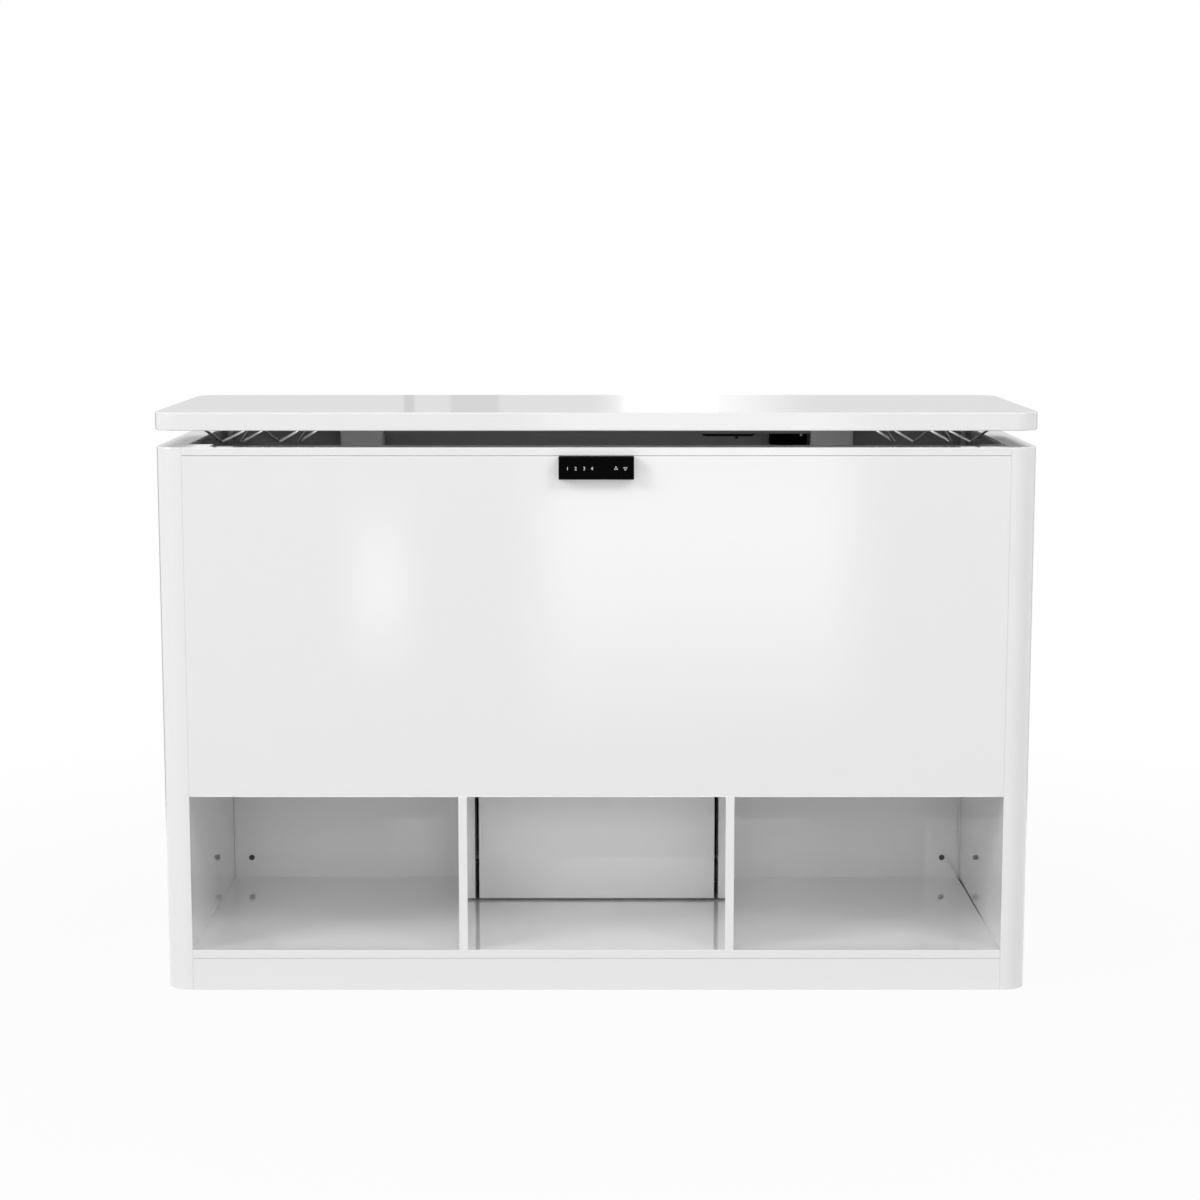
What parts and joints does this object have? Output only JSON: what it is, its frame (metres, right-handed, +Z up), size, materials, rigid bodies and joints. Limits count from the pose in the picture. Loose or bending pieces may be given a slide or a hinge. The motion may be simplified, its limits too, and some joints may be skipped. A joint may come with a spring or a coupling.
{
  "type": "lift bar cabinet",
  "caption": "White gloss sideboard bar with open compartments below and a top slab that rises on telescopic columns.",
  "frame": {"origin": "on the floor, below the middle of the cabinet's width and depth, handset included", "axes": "+X to the right seen from the front, +Y to the back, +Z up"},
  "size_m": [1.5, 0.5364, 1.004],
  "materials": {
    "white_lacquer": "high gloss white lacquer on board",
    "dark_laminate": "dark grey laminated board, satin",
    "raw_wood": "plain softwood block",
    "grey_paint": "silver grey powder coat",
    "dark_paint": "dark grey powder coat",
    "bright_wire": "polished wire",
    "black_plastic": "black moulded plastic",
    "black_glass": "gloss black touch window",
    "black_metal": "black painted steel",
    "cable_jacket": "black cable jacket",
    "bearing_plastic": "natural bearing plastic",
    "machined_steel": "machined steel",
    "zinc_screw": "zinc plated screw",
    "dark_cap": "dark cap screw"
  },
  "bodies": {
    "cabinet": {"side_panel_left": "white_lacquer", "side_panel_right": "white_lacquer", "front_panel": "white_lacquer", "front_top_rail": "white_lacquer", "corner_posts": "white_lacquer", "bottom_board": "white_lacquer", "front_plinth": "white_lacquer", "rear_plinth": "white_lacquer", "divider_left": "white_lacquer", "divider_right": "white_lacquer", "compartment_back_left": "white_lacquer", "compartment_back_right": "white_lacquer", "service_panel": "white_lacquer", "chamber_floor": "white_lacquer", "back_board": "white_lacquer", "front_stretcher": "dark_laminate", "chamber_lining_left": "dark_laminate", "chamber_lining_right": "dark_laminate", "service_panel_cleats": "raw_wood", "inner_tube_left": "grey_paint", "inner_tube_right": "grey_paint", "foot_plates": "grey_paint", "handset_housing": "black_plastic", "power_supply": "black_plastic", "power_inlet": "black_plastic", "handset_window": "black_glass", "base_nuts": "bearing_plastic", "inner_glides": "bearing_plastic", "back_board_screws": "zinc_screw", "foot_bolts": "zinc_screw", "lining_screws": "dark_cap"},
    "lift_unit": {"top_slab": "white_lacquer", "head_plate_left": "grey_paint", "head_plate_right": "grey_paint", "slab_screws": "zinc_screw", "crossbeam": "dark_paint", "outer_tube_left": "grey_paint", "outer_tube_right": "grey_paint", "motor_left": "black_metal", "motor_right": "black_metal", "lift_back_panel": "dark_laminate", "back_panel_batten": "dark_laminate", "deck": "dark_laminate", "deck_bracket_left": "grey_paint", "deck_bracket_right": "grey_paint", "stemware_rack_left": "bright_wire", "stemware_rack_right": "bright_wire", "control_box": "black_plastic", "control_box_bracket": "black_metal", "motor_cable": "cable_jacket"},
    "middle_stage_left": {"middle_tube_left": "grey_paint", "carrier_left": "bearing_plastic", "middle_glides_left": "bearing_plastic"},
    "spindle_left": {"drive_spindle_left": "machined_steel"},
    "screw_left": {"hollow_screw_left": "machined_steel"},
    "middle_stage_right": {"middle_tube_right": "grey_paint", "carrier_right": "bearing_plastic", "middle_glides_right": "bearing_plastic"},
    "spindle_right": {"drive_spindle_right": "machined_steel"},
    "screw_right": {"hollow_screw_right": "machined_steel"}
  },
  "joints": [
    {"name": "lift", "type": "slide", "parent": "cabinet", "child": "lift_unit", "axis": [0, 0, 1], "range_m": [-0.027, 0.423]},
    {"name": "middle_left", "type": "slide", "parent": "cabinet", "child": "middle_stage_left", "axis": [0, 0, 1], "range_m": [-0.0135, 0.2115]},
    {"name": "spindle_spin_left", "type": "hinge", "parent": "lift_unit", "child": "spindle_left", "pos_m": [-0.436, 0.19325, 0.6], "axis": [0, 0, 1], "range_deg": [-486.49, 7621.61]},
    {"name": "screw_spin_left", "type": "hinge", "parent": "middle_stage_left", "child": "screw_left", "pos_m": [-0.436, 0.19325, 0.6], "axis": [0, 0, 1], "range_deg": [-486.49, 7621.61]},
    {"name": "middle_right", "type": "slide", "parent": "cabinet", "child": "middle_stage_right", "axis": [0, 0, 1], "range_m": [-0.0135, 0.2115]},
    {"name": "spindle_spin_right", "type": "hinge", "parent": "lift_unit", "child": "spindle_right", "pos_m": [0.436, 0.19325, 0.6], "axis": [0, 0, 1], "range_deg": [-486.49, 7621.61]},
    {"name": "screw_spin_right", "type": "hinge", "parent": "middle_stage_right", "child": "screw_right", "pos_m": [0.436, 0.19325, 0.6], "axis": [0, 0, 1], "range_deg": [-486.49, 7621.61]}
  ],
  "couplings": [
    {"joint": "middle_left", "follows": "lift", "ratio": 0.5},
    {"joint": "spindle_spin_left", "follows": "lift", "rad_per_m": 314.16},
    {"joint": "screw_spin_left", "follows": "lift", "rad_per_m": 314.16},
    {"joint": "middle_right", "follows": "lift", "ratio": 0.5},
    {"joint": "spindle_spin_right", "follows": "lift", "rad_per_m": 314.16},
    {"joint": "screw_spin_right", "follows": "lift", "rad_per_m": 314.16}
  ]
}
